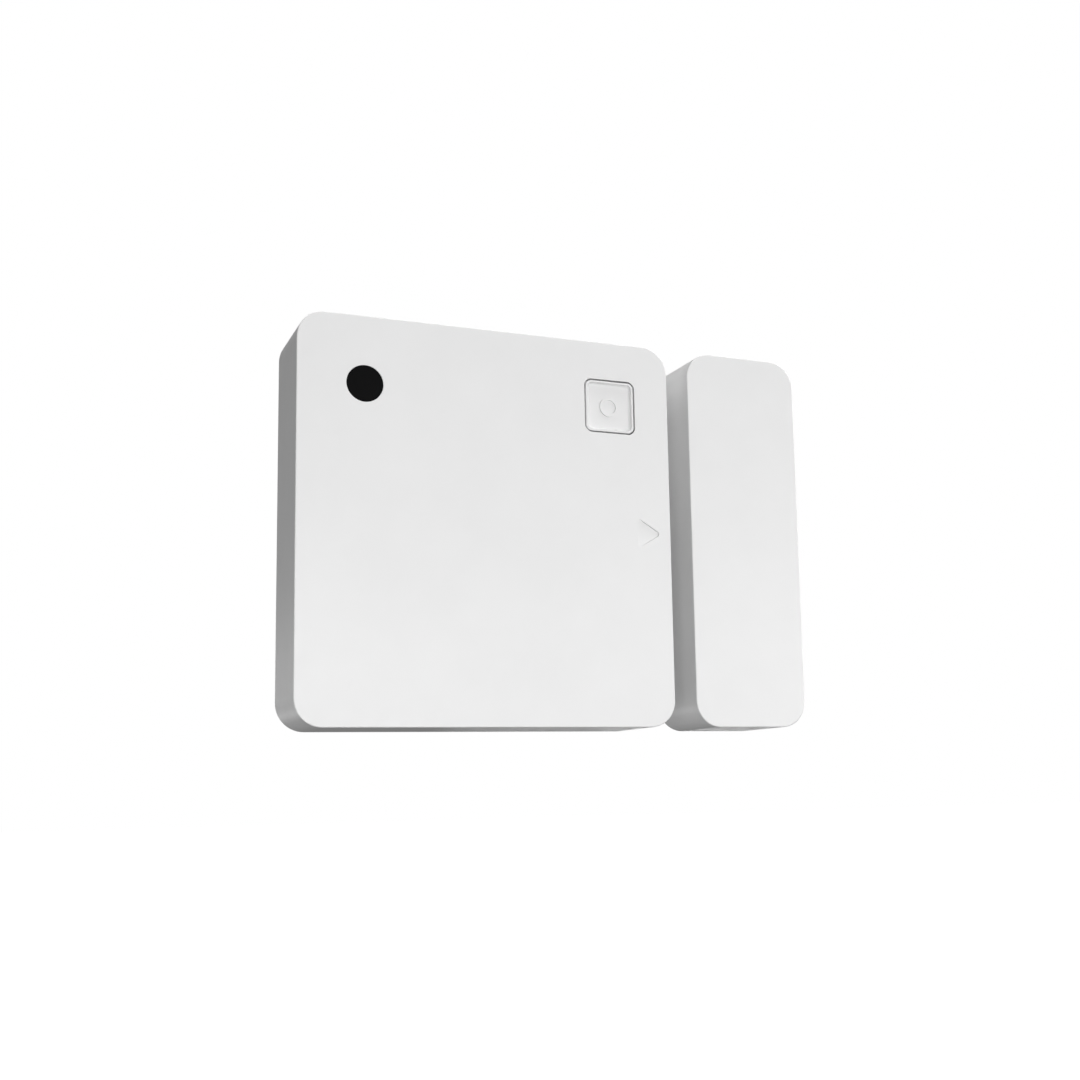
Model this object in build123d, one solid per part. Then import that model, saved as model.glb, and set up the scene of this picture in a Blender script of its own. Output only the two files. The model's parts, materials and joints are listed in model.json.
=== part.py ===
from build123d import *

import os
from math import cos, radians, sin

# Door contact sensor: a coin-cell sensor unit with a push button, and the magnet unit that sits beside it.
#
# Every piece is drawn as it looks from the room, facing the closed door: X to the right, Y up and Z out of
# the door, with Z = 0 on the surface that the adhesive pads stick to. stand_up() then turns the piece so that
# +Z is up and the front faces -Y. The origin is the centre of the sensor unit's mounting face. Sizes are in
# millimetres.

# ---------------------------------------------------------------- driving dimensions
SENSOR_WIDTH = 36.3  # at the front face
CASE_HEIGHT = 37.0
CASE_DEPTH = 8.2
MAGNET_CASE_WIDTH = 12.0
CASE_GAP = 2.3  # between the two units' front faces
CORNER_RADIUS = 2.53
DRAFT = 0.1  # how much further out each side wall is at the rear edge
FRONT_EDGE_RADIUS = 0.1
SIDE_WALL = 1.1
FRONT_WALL = 1.0
PAD_THICKNESS = 0.8
COVER_THICKNESS = 0.9
COVER_CLEARANCE = 0.12

FEATURE_HEIGHT = 12.2  # the button's and the window's centres, above the middle
FEATURE_OFFSET = 12.0  # each side of the middle

BUTTON_OPENING = 5.26
BUTTON_OPENING_RADIUS = 0.75
BUTTON_GAP = 0.14
BUTTON_TRAVEL = 0.2

WINDOW_HOLE_DIAMETER = 3.4
WINDOW_RECESS = 0.08
WINDOW_PLAY = 0.04
WINDOW_FLANGE_DIAMETER = 4.8
WINDOW_FLANGE_THICKNESS = 0.5

BOARD_WIDTH = 32.0
BOARD_HEIGHT = 32.6
BOARD_THICKNESS = 0.8
BOARD_CORNER_RADIUS = 1.5

CELL_DIAMETER = 20.0  # coin cell 2032
CELL_THICKNESS = 3.2
CELL_CENTRE = (-4.2, -4.6)
CELL_CAP_RADIUS = 8.93
CELL_ELECTRODES_DIAMETER = 16.7
CELL_CAP_TO_ELECTRODES = 0.3

REED_CENTRE_X = 14.6
REED_GLASS_LENGTH = 10.5
REED_GLASS_DIAMETER = 2.0
REED_OPEN_ANGLE = 1.2  # degrees that the blade springs away when the magnet leaves

MAGNET_SIZE = (5.0, 20.0, 3.0)
MAGNET_ABOVE_COVER = 1.8
MAGNET_PLAY = 0.1  # round the magnet, between its ribs
MAGNET_FIT = 0.02  # in front of and behind the magnet
MAGNET_RIB = 0.8
MAGNET_RIB_OFFSET = 6.0
MAGNET_PRESS_RIB_OFFSET = 3.5
MAGNET_PRESS_RIB_WIDTH = 3.6

# ---------------------------------------------------------------- levels, out from the mounting surface
CASE_REAR = PAD_THICKNESS
CASE_FRONT = CASE_REAR + CASE_DEPTH
CASE_INSIDE_FRONT = CASE_FRONT - FRONT_WALL
COVER_INSIDE = CASE_REAR + COVER_THICKNESS
CELL_REAR = COVER_INSIDE + 0.1
CELL_FRONT = CELL_REAR + CELL_THICKNESS
BOARD_REAR = CELL_FRONT + 0.3
BOARD_FRONT = BOARD_REAR + BOARD_THICKNESS
REED_AXIS = BOARD_REAR - REED_GLASS_DIAMETER / 2 - 0.2

BUTTON_CENTRE = (FEATURE_OFFSET, FEATURE_HEIGHT)
WINDOW_CENTRE = (-FEATURE_OFFSET, FEATURE_HEIGHT)
MAGNET_CASE_X = SENSOR_WIDTH / 2 + CASE_GAP + MAGNET_CASE_WIDTH / 2

# ---------------------------------------------------------------- small features
ARROW_LENGTH = 2.5
ARROW_HEIGHT = 2.95
ARROW_DEPTH = 0.15
ARROW_TIP_FROM_EDGE = 0.96
ARROW_TIP_RADIUS = 0.3
ARROW_TAIL_RADIUS = 0.2
ARROW_RIM = 0.015  # a small slope round the mouth of the pocket

PRY_NOTCH_WIDTH = 5.0
PRY_NOTCH_DEPTH = 1.0
PRY_RELIEF_HEIGHT = 0.5
PRY_RELIEF_REACH = 0.4

COVER_RIB_THICKNESS = 0.7
COVER_RIB_HEIGHT = 0.6
COVER_RIB_FROM_SIDE = 1.2  # from the stop ribs
COVER_RIB_FROM_TOP = 0.5
COVER_RIB_FROM_HOLDER = 1.25

ROOTED = 0.1  # how far posts and frames run into the wall that they stand on

STOP_RIB_WIDTH = 1.0
STOP_RIB_THICKNESS = 0.7
STOP_RIB_CLEARANCE = 0.02

HOOK_OFFSET = 8.5  # above and below the middle, on both side walls
MAGNET_HOOK_OFFSET = 13.4
HOOK_WIDTH = 4.0
HOOK_THICKNESS = 0.75
HOOK_REACH = 3.1  # how far a hook stands up from its cover
HOOK_BEAD = 0.33
HOOK_BEAD_START = 0.9  # the bead's outline, measured down from the hook's tip
HOOK_BEAD_LOW = 0.75
HOOK_BEAD_HIGH = 0.55
HOOK_TO_WALL = 0.1
HOOK_POCKET_PLAY = 0.2

STAKES = ((-14.3, 8.2), (2.5, 14.3), (13.2, -13.6), (-14.4, -14.4))
STAKE_DIAMETER = 1.1
STAKE_SHOULDER_DIAMETER = 2.2
STAKE_HEAD_DIAMETER = 2.0
STAKE_HEAD_HEIGHT = 0.45
STAKE_HOLE_DIAMETER = 1.3

BUTTON_FLANGE = 6.2
BUTTON_FLANGE_THICKNESS = 0.4
BUTTON_FLANGE_CLEARANCE = 0.05
BUTTON_EDGE_RADIUS = 0.08
BUTTON_FRAME_INSIDE = 6.6
BUTTON_FRAME_WALL = 0.6
BUTTON_FRAME_DEPTH = 0.8
BUTTON_DISH = 4.6
BUTTON_DISH_FLOOR = 4.42
BUTTON_DISH_DEPTH = 0.3
BUTTON_DISH_RADIUS = 0.5
BUTTON_DISH_SWEEP = 0.26  # rounds the sunk panel's walls into its floor
BUTTON_MARK_RADIUS = 0.95
BUTTON_MARK_LINE = 0.25
BUTTON_MARK_HEIGHT = 0.12
BUTTON_POST_DIAMETER = 1.8

SWITCH_SIZE = 3.6
SWITCH_BASE_HEIGHT = 0.7
SWITCH_COVER_THICKNESS = 0.12
SWITCH_CAVITY_DIAMETER = 2.8
SWITCH_CAVITY_DEPTH = 0.5
SWITCH_DOME_DIAMETER = 2.5
SWITCH_DOME_RISE = 0.24
SWITCH_DOME_SHEET = 0.06
SWITCH_CLIP_WIDTH = 1.6
SWITCH_CLIP_DROP = 0.45
SWITCH_TERMINAL_SIZE = (0.8, 0.5, 0.15)
SWITCH_TERMINAL_ROW = 1.1
SWITCH_PLUNGER_DIAMETER = 1.5
SWITCH_PLUNGER_SHOULDER = 2.2
SWITCH_PLUNGER_SHOULDER_THICKNESS = 0.18
SWITCH_PLUNGER_CLEARANCE = 0.05
SWITCH_PLUNGER_TOP = BOARD_FRONT + 1.2
SWITCH_PLUNGER_FROM_FLOOR = 0.27  # it rests on the dome, above the cavity's floor

RADIO_CHIP_CENTRE = (-1.5, 3.0)
RADIO_CHIP_SIZE = 5.0
RADIO_CHIP_HEIGHT = 0.85
RADIO_LANDS_ON_A_SIDE = 7
RADIO_LAND_PITCH = 0.7
RADIO_LAND_SIZE = 0.3
RADIO_LAND_HEIGHT = 0.1
RADIO_LAND_GAP = 0.01  # between the chip's body and its lands

CRYSTAL_CENTRE = (4.4, 4.6)
CRYSTAL_SIZE = (3.2, 2.5)
CRYSTAL_LEDGE = 0.2  # round its lid
CRYSTAL_CAN_HEIGHT = 0.45
CRYSTAL_HEIGHT = 0.7
ANTENNA_TRACK = 0.35
COPPER_THICKNESS = 0.05

TEST_PAD_DIAMETER = 1.0
TEST_PAD_THICKNESS = 0.04
TEST_PAD_PITCH = 2.0
TEST_PAD_FIRST = (2.0, 9.4)

CHIP_LENGTH = 1.6  # the small capacitors and resistors
CHIP_WIDTH = 0.8
CHIP_TERMINAL = 0.3
CHIP_HEIGHT = 0.7
CHIP_BODY_INSET = 0.03  # the plated ends stand out by this much

HOLDER_INSIDE_DIAMETER = CELL_DIAMETER + 0.5
HOLDER_WALL = 1.0
HOLDER_REAR = BOARD_REAR - 2.8
HOLDER_PIN_DIAMETER = 0.8
HOLDER_PIN_HOLE_DIAMETER = 1.0
HOLDER_PIN_ANGLES = (40, 220)
HOLDER_PIN_ROOT = 0.5
HOLDER_CONTACT_GAP = (6.0, 6.4)
HOLDER_FINGER_GAP = (6.0, 9.0, 3.6)
HOLDER_FINGER_ANGLE = 128

LIGHT_CHIP_SIZE = 1.6
LIGHT_CHIP_HEIGHT = 0.6
LIGHT_CHIP_OFFSET = -0.5  # from the window's centre
LIGHT_CHIP_LENS = (1.0, 0.15)  # its diameter and height
LED_BASE_SIZE = (0.8, 1.6, 0.3)
LED_LENS_SIZE = (0.7, 1.0, 0.35)
LED_OFFSET = 1.0

POSITIVE_SHEET = 0.2  # the battery contacts' steel
POSITIVE_WIDTH = 4.6
POSITIVE_FOOT = 2.0
NEGATIVE_SHEET = 0.15
NEGATIVE_ARM = (11.0, 2.2)
NEGATIVE_ARM_RADIUS = 1.0
NEGATIVE_DIMPLE_DIAMETER = 1.3
NEGATIVE_DIMPLE_OFFSET = 4.2

REED_LEAD_DIAMETER = 0.5
REED_LEAD_SPAN = 6.9  # from the middle to where each lead turns into the board
REED_LEAD_BEND = 0.5
REED_LEAD_HOLE_DIAMETER = 0.8
REED_BLADE_ROOT = 4.2
REED_BLADE_OVERLAP = 0.75
REED_BLADE_WIDTH = 1.0
REED_BLADE_THICKNESS = 0.2
REED_CONTACT_GAP = 0.005
REED_GLASS_WALL = 0.25
REED_GLASS_SEAL = 0.95
REED_GLASS_END_RADIUS = 0.45
REED_LEAD_FIT = 0.01  # clearance round a lead, in the glass and in its solder joint
REED_JOINT_HEIGHT = 0.3

PAD_INSET = 4.3
MAGNET_PAD_INSET = 2.4


# ---------------------------------------------------------------- shared shapes
def rounded_slab(width, height, radius, low, high, centre=(0, 0)):
    """A flat slab with rounded corners, from level low to level high."""
    outline = Pos(*centre, low) * RectangleRounded(width, height, radius)
    return extrude(outline, high - low)


def slab(width, height, low, high, centre=(0, 0)):
    """A flat slab with square corners, from level low to level high."""
    return extrude(Pos(*centre, low) * Rectangle(width, height), high - low)


def disc(diameter, low, high, centre=(0, 0)):
    """A round disc or post, from level low to level high."""
    return extrude(Pos(*centre, low) * Circle(diameter / 2), high - low)


def turned(points, centre=(0, 0)):
    """A solid turned about the Z axis from its half profile of (radius, level) points."""
    profile = make_face(Plane.XZ * Polyline(*points, close=True))
    return Pos(*centre, 0) * revolve(profile, Axis.Z)


def side_strip(line, thickness, width, centre=(0, 0)):
    """A bent metal strip: its edge line is drawn in X and Z, and it is width wide along Y."""
    section = Plane.XZ * trace(line, thickness)
    return Pos(*centre, 0) * extrude(section, width / 2, both=True)


def case_outside(width, centre_x):
    """A unit's outer form: side walls that widen a little towards the rear, and a softened front edge."""
    rear = Pos(centre_x, 0, CASE_REAR) * RectangleRounded(
        width + 2 * DRAFT, CASE_HEIGHT + 2 * DRAFT, CORNER_RADIUS + DRAFT
    )
    front = Pos(centre_x, 0, CASE_FRONT) * RectangleRounded(width, CASE_HEIGHT, CORNER_RADIUS)
    body = loft([rear, front])
    return fillet(body.faces().sort_by(Axis.Z)[-1].edges(), FRONT_EDGE_RADIUS)


def case_inside(width, centre_x):
    """The cavity behind a unit's front wall, open at the rear."""
    inner_radius = CORNER_RADIUS - SIDE_WALL
    inner_width, inner_height = width - 2 * SIDE_WALL, CASE_HEIGHT - 2 * SIDE_WALL
    rear = Pos(centre_x, 0, CASE_REAR) * RectangleRounded(
        inner_width + 2 * DRAFT, inner_height + 2 * DRAFT, inner_radius + DRAFT
    )
    front = Pos(centre_x, 0, CASE_INSIDE_FRONT) * RectangleRounded(inner_width, inner_height, inner_radius)
    return loft([rear, front])


def stop_ribs(width, centre_x, along_x, along_y):
    """Ribs on the cavity's walls that the rear cover comes to rest on."""
    half_width, half_height = width / 2 - SIDE_WALL, CASE_HEIGHT / 2 - SIDE_WALL
    low = COVER_INSIDE + STOP_RIB_CLEARANCE
    reach = STOP_RIB_THICKNESS + DRAFT  # the ribs are rooted in the wall
    ribs = []
    for side in (-1, 1):
        for x in along_x:
            middle = side * (half_height - STOP_RIB_THICKNESS + reach / 2)
            ribs.append(slab(STOP_RIB_WIDTH, reach, low, CASE_INSIDE_FRONT, (centre_x + x, middle)))
        for y in along_y:
            middle = centre_x + side * (half_width - STOP_RIB_THICKNESS + reach / 2)
            ribs.append(slab(reach, STOP_RIB_WIDTH, low, CASE_INSIDE_FRONT, (middle, y)))
    return ribs


def hook(width, centre_x, side, y):
    """One snap hook of a rear cover: an arm along the side wall with a bead near its tip."""
    wall = width / 2 - SIDE_WALL - HOOK_TO_WALL
    arm_inside = wall - HOOK_THICKNESS
    top = COVER_INSIDE + HOOK_REACH
    profile = make_face(
        Plane.XZ
        * Polyline(
            (arm_inside, COVER_INSIDE),
            (wall, COVER_INSIDE),
            (wall, top - HOOK_BEAD_START),
            (wall + HOOK_BEAD, top - HOOK_BEAD_LOW),
            (wall + HOOK_BEAD, top - HOOK_BEAD_HIGH),
            (wall, top),
            (arm_inside, top),
            close=True,
        )
    )
    arm = extrude(profile, HOOK_WIDTH / 2, both=True)
    if side < 0:
        arm = mirror(arm, Plane.YZ)
    return Pos(centre_x, y, 0) * arm


def hook_pocket(width, centre_x, side, y):
    """The pocket in the side wall that a hook's bead snaps into."""
    wall = width / 2 - SIDE_WALL - HOOK_TO_WALL
    low = COVER_INSIDE + HOOK_REACH - HOOK_BEAD_START - HOOK_POCKET_PLAY
    high = COVER_INSIDE + HOOK_REACH + HOOK_POCKET_PLAY
    deep = HOOK_TO_WALL + HOOK_BEAD
    middle = centre_x + side * (wall + deep / 2)
    return slab(deep, HOOK_WIDTH + 2 * HOOK_POCKET_PLAY, low, high, (middle, y))


def cover_plate(width, centre_x):
    """A unit's flat rear cover, which sits inside the side walls."""
    return rounded_slab(
        width + 2 * DRAFT - 2 * SIDE_WALL - 2 * COVER_CLEARANCE,
        CASE_HEIGHT + 2 * DRAFT - 2 * SIDE_WALL - 2 * COVER_CLEARANCE,
        CORNER_RADIUS + DRAFT - SIDE_WALL - COVER_CLEARANCE,
        CASE_REAR,
        COVER_INSIDE,
        (centre_x, 0),
    )


# ---------------------------------------------------------------- sensor unit: case
def alignment_arrow():
    """The sunk triangle that points at the magnet unit."""
    tip = SENSOR_WIDTH / 2 - ARROW_TIP_FROM_EDGE
    tail = tip - ARROW_LENGTH
    outline = Polygon((tip, 0), (tail, ARROW_HEIGHT / 2), (tail, -ARROW_HEIGHT / 2), align=None)
    outline = fillet(outline.vertices().sort_by(Axis.X)[-1], ARROW_TIP_RADIUS)
    outline = fillet(outline.vertices().sort_by(Axis.X)[:2], ARROW_TAIL_RADIUS)
    pocket = extrude(Pos(0, 0, CASE_FRONT - ARROW_DEPTH) * outline, 2 * ARROW_DEPTH)
    rim = extrude(Pos(0, 0, CASE_FRONT - ARROW_RIM) * outline, 2 * ARROW_RIM, taper=-45)
    return pocket + rim


def heat_stake(centre):
    """A post that the board sits on, with a pin through the board and a head melted over behind it."""
    shoulder = disc(STAKE_SHOULDER_DIAMETER, BOARD_FRONT, CASE_INSIDE_FRONT + ROOTED, centre)
    pin = disc(STAKE_DIAMETER, BOARD_REAR - 0.1, BOARD_FRONT, centre)
    head = disc(STAKE_HEAD_DIAMETER, BOARD_REAR - STAKE_HEAD_HEIGHT, BOARD_REAR, centre)
    head = fillet(head.edges().sort_by(Axis.Z)[0], STAKE_HEAD_HEIGHT * 0.8)
    return shoulder + pin + head


def sensor_front_housing():
    housing = case_outside(SENSOR_WIDTH, 0) - case_inside(SENSOR_WIDTH, 0)
    for rib in stop_ribs(SENSOR_WIDTH, 0, along_x=(-8.5, 8.5), along_y=(-15, 0, 15)):
        housing += rib
    frame_low = CASE_INSIDE_FRONT - BUTTON_FRAME_DEPTH
    frame_size = BUTTON_FRAME_INSIDE + 2 * BUTTON_FRAME_WALL
    housing += rounded_slab(frame_size, frame_size, 1.0, frame_low, CASE_INSIDE_FRONT + ROOTED, BUTTON_CENTRE)
    housing -= slab(BUTTON_FRAME_INSIDE, BUTTON_FRAME_INSIDE, frame_low, CASE_INSIDE_FRONT, BUTTON_CENTRE)
    housing -= rounded_slab(
        BUTTON_OPENING, BUTTON_OPENING, BUTTON_OPENING_RADIUS, frame_low, CASE_FRONT + 1, BUTTON_CENTRE
    )
    housing -= disc(WINDOW_HOLE_DIAMETER, CASE_INSIDE_FRONT - 1, CASE_FRONT + 1, WINDOW_CENTRE)
    housing -= alignment_arrow()
    for side in (-1, 1):
        for y in (-HOOK_OFFSET, HOOK_OFFSET):
            housing -= hook_pocket(SENSOR_WIDTH, 0, side, y)
    top_wall = (0, CASE_HEIGHT / 2)
    housing -= slab(PRY_NOTCH_WIDTH, 4 * SIDE_WALL, CASE_REAR - 1, CASE_REAR + PRY_NOTCH_DEPTH, top_wall)
    for centre in STAKES:
        housing += heat_stake(centre)
    return housing


def sensor_back_cover():
    cover = cover_plate(SENSOR_WIDTH, 0)
    inset = SIDE_WALL + STOP_RIB_THICKNESS
    width = SENSOR_WIDTH - 2 * (inset + COVER_RIB_FROM_SIDE)
    height = CASE_HEIGHT - 2 * (inset + COVER_RIB_FROM_TOP)
    rib, rib_top = COVER_RIB_THICKNESS, COVER_INSIDE + COVER_RIB_HEIGHT
    skirt = rounded_slab(width, height, 1.5, COVER_INSIDE, rib_top)
    skirt -= rounded_slab(width - 2 * rib, height - 2 * rib, 1.0, COVER_INSIDE, rib_top)
    clear_of_holder = CELL_DIAMETER + 2 * (HOLDER_WALL + COVER_RIB_FROM_HOLDER)
    skirt -= disc(clear_of_holder, COVER_INSIDE, rib_top, CELL_CENTRE)
    pry_relief = slab(
        PRY_NOTCH_WIDTH,
        2 * PRY_RELIEF_REACH,
        CASE_REAR,
        CASE_REAR + PRY_RELIEF_HEIGHT,
        (0, CASE_HEIGHT / 2 - SIDE_WALL),
    )
    return cover + skirt - pry_relief


def back_cover_snap_hooks():
    return [hook(SENSOR_WIDTH, 0, side, y) for side in (-1, 1) for y in (-HOOK_OFFSET, HOOK_OFFSET)]


def sensor_adhesive_pad():
    return rounded_slab(
        SENSOR_WIDTH - 2 * PAD_INSET, CASE_HEIGHT - 2 * PAD_INSET, 2.0, 0, PAD_THICKNESS
    )


def light_sensor_window():
    """A dark stepped plug: its flange is glued behind the front wall."""
    low = CASE_INSIDE_FRONT - WINDOW_FLANGE_THICKNESS
    plug = disc(WINDOW_HOLE_DIAMETER - WINDOW_PLAY, low, CASE_FRONT - WINDOW_RECESS, WINDOW_CENTRE)
    return plug + disc(WINDOW_FLANGE_DIAMETER, low, CASE_INSIDE_FRONT, WINDOW_CENTRE)


# ---------------------------------------------------------------- sensor unit: button and its switch
def button_cap():
    size = BUTTON_OPENING - 2 * BUTTON_GAP
    flange_top = CASE_INSIDE_FRONT - BUTTON_FLANGE_CLEARANCE
    flange_low = flange_top - BUTTON_FLANGE_THICKNESS
    cap = rounded_slab(size, size, BUTTON_OPENING_RADIUS - BUTTON_GAP, flange_low, CASE_FRONT, BUTTON_CENTRE)
    cap = fillet(cap.faces().sort_by(Axis.Z)[-1].edges(), BUTTON_EDGE_RADIUS)
    dish_floor = CASE_FRONT - BUTTON_DISH_DEPTH
    floor_radius = BUTTON_DISH_RADIUS - (BUTTON_DISH - BUTTON_DISH_FLOOR) / 2
    dish = loft([
        Pos(*BUTTON_CENTRE, dish_floor)
        * RectangleRounded(BUTTON_DISH_FLOOR, BUTTON_DISH_FLOOR, floor_radius),
        Pos(*BUTTON_CENTRE, CASE_FRONT) * RectangleRounded(BUTTON_DISH, BUTTON_DISH, BUTTON_DISH_RADIUS),
    ])
    dish = fillet(dish.faces().sort_by(Axis.Z)[0].edges(), BUTTON_DISH_SWEEP)
    cap -= dish
    mark_top = dish_floor + BUTTON_MARK_HEIGHT
    mark = disc(2 * BUTTON_MARK_RADIUS, dish_floor, mark_top, BUTTON_CENTRE)
    mark -= disc(2 * (BUTTON_MARK_RADIUS - BUTTON_MARK_LINE), dish_floor, mark_top, BUTTON_CENTRE)
    flange = rounded_slab(BUTTON_FLANGE, BUTTON_FLANGE, 0.5, flange_low, flange_top, BUTTON_CENTRE)
    post = disc(BUTTON_POST_DIAMETER, SWITCH_PLUNGER_TOP, flange_low, BUTTON_CENTRE)
    return cap + mark + flange + post


def tact_switch_base():
    top = BOARD_FRONT + SWITCH_BASE_HEIGHT
    base = rounded_slab(SWITCH_SIZE, SWITCH_SIZE, 0.3, BOARD_FRONT, top, BUTTON_CENTRE)
    return base - disc(SWITCH_CAVITY_DIAMETER, top - SWITCH_CAVITY_DEPTH, top, BUTTON_CENTRE)


def tact_switch_cover():
    """The steel plate that closes the switch, with two clips folded down its sides."""
    low = BOARD_FRONT + SWITCH_BASE_HEIGHT
    high = low + SWITCH_COVER_THICKNESS
    bore = SWITCH_PLUNGER_DIAMETER + 2 * SWITCH_PLUNGER_CLEARANCE
    cover = rounded_slab(SWITCH_SIZE - 0.2, SWITCH_SIZE, 0.3, low, high, BUTTON_CENTRE)
    for side in (-1, 1):
        x, y = BUTTON_CENTRE
        clip_y = y + side * (SWITCH_SIZE + SWITCH_COVER_THICKNESS) / 2
        cover += slab(SWITCH_CLIP_WIDTH, SWITCH_COVER_THICKNESS, low - SWITCH_CLIP_DROP, high, (x, clip_y))
    return cover - disc(bore, low, high, BUTTON_CENTRE)


def tact_switch_terminals():
    x, y = BUTTON_CENTRE
    length, width, height = SWITCH_TERMINAL_SIZE
    out = (SWITCH_SIZE + length) / 2
    return [
        slab(length, width, BOARD_FRONT, BOARD_FRONT + height, (x + side * out, y + row))
        for side in (-1, 1)
        for row in (-SWITCH_TERMINAL_ROW, SWITCH_TERMINAL_ROW)
    ]


def tact_switch_dome():
    """The snap dome: a thin shallow spherical cap under the plunger."""
    floor = BOARD_FRONT + SWITCH_BASE_HEIGHT - SWITCH_CAVITY_DEPTH + 0.01
    foot = SWITCH_DOME_DIAMETER / 2
    ball_radius = (foot**2 + SWITCH_DOME_RISE**2) / (2 * SWITCH_DOME_RISE)
    ball_centre = Pos(*BUTTON_CENTRE, floor + SWITCH_DOME_RISE - ball_radius)
    shell = Sphere(ball_radius) - Sphere(ball_radius - SWITCH_DOME_SHEET)
    return (ball_centre * shell) & disc(2 * foot + 1, floor, floor + 2 * SWITCH_DOME_RISE, BUTTON_CENTRE)


def tact_switch_plunger():
    low = BOARD_FRONT + SWITCH_BASE_HEIGHT - SWITCH_CAVITY_DEPTH + SWITCH_PLUNGER_FROM_FLOOR
    stem = disc(SWITCH_PLUNGER_DIAMETER, low, SWITCH_PLUNGER_TOP, BUTTON_CENTRE)
    shoulder_top = low + SWITCH_PLUNGER_SHOULDER_THICKNESS
    return stem + disc(SWITCH_PLUNGER_SHOULDER, low, shoulder_top, BUTTON_CENTRE)


# ---------------------------------------------------------------- sensor unit: board and what it carries
def holder_pin_centres():
    radius = HOLDER_INSIDE_DIAMETER / 2 + HOLDER_WALL / 2
    x, y = CELL_CENTRE
    return [(x + radius * cos(radians(a)), y + radius * sin(radians(a))) for a in HOLDER_PIN_ANGLES]


def circuit_board():
    board = rounded_slab(BOARD_WIDTH, BOARD_HEIGHT, BOARD_CORNER_RADIUS, BOARD_REAR, BOARD_FRONT)
    holes = [(centre, STAKE_HOLE_DIAMETER) for centre in STAKES]
    holes += [(centre, HOLDER_PIN_HOLE_DIAMETER) for centre in holder_pin_centres()]
    holes += [((REED_CENTRE_X, side * REED_LEAD_SPAN), REED_LEAD_HOLE_DIAMETER) for side in (-1, 1)]
    for centre, diameter in holes:
        board -= disc(diameter, BOARD_REAR - 1, BOARD_FRONT + 1, centre)
    return board


def trace_antenna():
    """The radio's aerial: a copper track that winds along the board's top edge."""
    left, low, high, pitch, turns = -8.0, 12.4, 15.4, 0.9, 5
    points = [(left - 1.2, low - 1.4), (left, low - 1.4)]
    for turn in range(turns):
        x = left + 2 * turn * pitch
        points += [(x, high), (x + pitch, high), (x + pitch, low), (x + 2 * pitch, low)]
    points.append((left + 2 * turns * pitch, high))
    return extrude(Pos(0, 0, BOARD_FRONT) * trace(Polyline(*points), ANTENNA_TRACK), COPPER_THICKNESS)


def test_pads():
    """Bare pads on the board's rear, where the factory's probes touch."""
    x, y = TEST_PAD_FIRST
    low = BOARD_REAR - TEST_PAD_THICKNESS
    return [
        disc(TEST_PAD_DIAMETER, low, BOARD_REAR, (x + TEST_PAD_PITCH * column, y + TEST_PAD_PITCH * row))
        for column in range(5)
        for row in range(2)
    ]


def radio_chip():
    top = BOARD_FRONT + RADIO_CHIP_HEIGHT
    return rounded_slab(RADIO_CHIP_SIZE, RADIO_CHIP_SIZE, 0.1, BOARD_FRONT, top, RADIO_CHIP_CENTRE)


def radio_chip_lands():
    """The solder lands that show as a row of small tabs along each side of the radio chip."""
    x, y = RADIO_CHIP_CENTRE
    out = (RADIO_CHIP_SIZE + RADIO_LAND_SIZE) / 2 + RADIO_LAND_GAP
    top = BOARD_FRONT + RADIO_LAND_HEIGHT
    lands = []
    for step in range(RADIO_LANDS_ON_A_SIDE):
        along = (step - (RADIO_LANDS_ON_A_SIDE - 1) / 2) * RADIO_LAND_PITCH
        for side in (-1, 1):
            for centre in ((x + along, y + side * out), (x + side * out, y + along)):
                lands.append(slab(RADIO_LAND_SIZE, RADIO_LAND_SIZE, BOARD_FRONT, top, centre))
    return lands


def crystal_oscillator():
    width, height = CRYSTAL_SIZE
    step = BOARD_FRONT + CRYSTAL_CAN_HEIGHT
    lid_width, lid_height = width - 2 * CRYSTAL_LEDGE, height - 2 * CRYSTAL_LEDGE
    can = rounded_slab(width, height, 0.4, BOARD_FRONT, step, CRYSTAL_CENTRE)
    return can + rounded_slab(lid_width, lid_height, 0.3, step, BOARD_FRONT + CRYSTAL_HEIGHT, CRYSTAL_CENTRE)


def chip_sites():
    """Where the small capacitors and resistors sit: (x, y, on the front, lying along X)."""
    sites = [(-6.0, 0.9 + 1.4 * step, True, True) for step in range(4)]
    sites += [(-3.9 + 1.6 * step, -1.7, True, False) for step in range(4)]
    sites += [(4.4, 7.0, True, True), (4.4, 8.4, True, True), (8.0, 4.0, True, False)]
    sites += [(-12.0, 8.6, True, True), (-8.6, 10.0, True, False)]
    sites += [(10.2, -9.0 - 1.5 * step, False, True) for step in range(3)]
    return sites


def chip_piece(site, low, high, along_low, along_high, width):
    """A block that belongs to one small component, between two stations along its length."""
    x, y, on_front, along_x = site
    middle, length = (along_low + along_high) / 2, along_high - along_low
    size = (length, width) if along_x else (width, length)
    centre = (x + middle, y) if along_x else (x, y + middle)
    if on_front:
        return slab(*size, BOARD_FRONT + low, BOARD_FRONT + high, centre)
    return slab(*size, BOARD_REAR - high, BOARD_REAR - low, centre)


def chip_component_bodies():
    reach = CHIP_LENGTH / 2 - CHIP_TERMINAL
    inset = CHIP_BODY_INSET
    return [
        chip_piece(site, inset, CHIP_HEIGHT - inset, -reach, reach, CHIP_WIDTH - 2 * inset)
        for site in chip_sites()
    ]


def chip_component_terminals():
    inner, outer = CHIP_LENGTH / 2 - CHIP_TERMINAL, CHIP_LENGTH / 2
    ends = []
    for site in chip_sites():
        ends.append(chip_piece(site, 0, CHIP_HEIGHT, inner, outer, CHIP_WIDTH))
        ends.append(chip_piece(site, 0, CHIP_HEIGHT, -outer, -inner, CHIP_WIDTH))
    return ends


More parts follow.
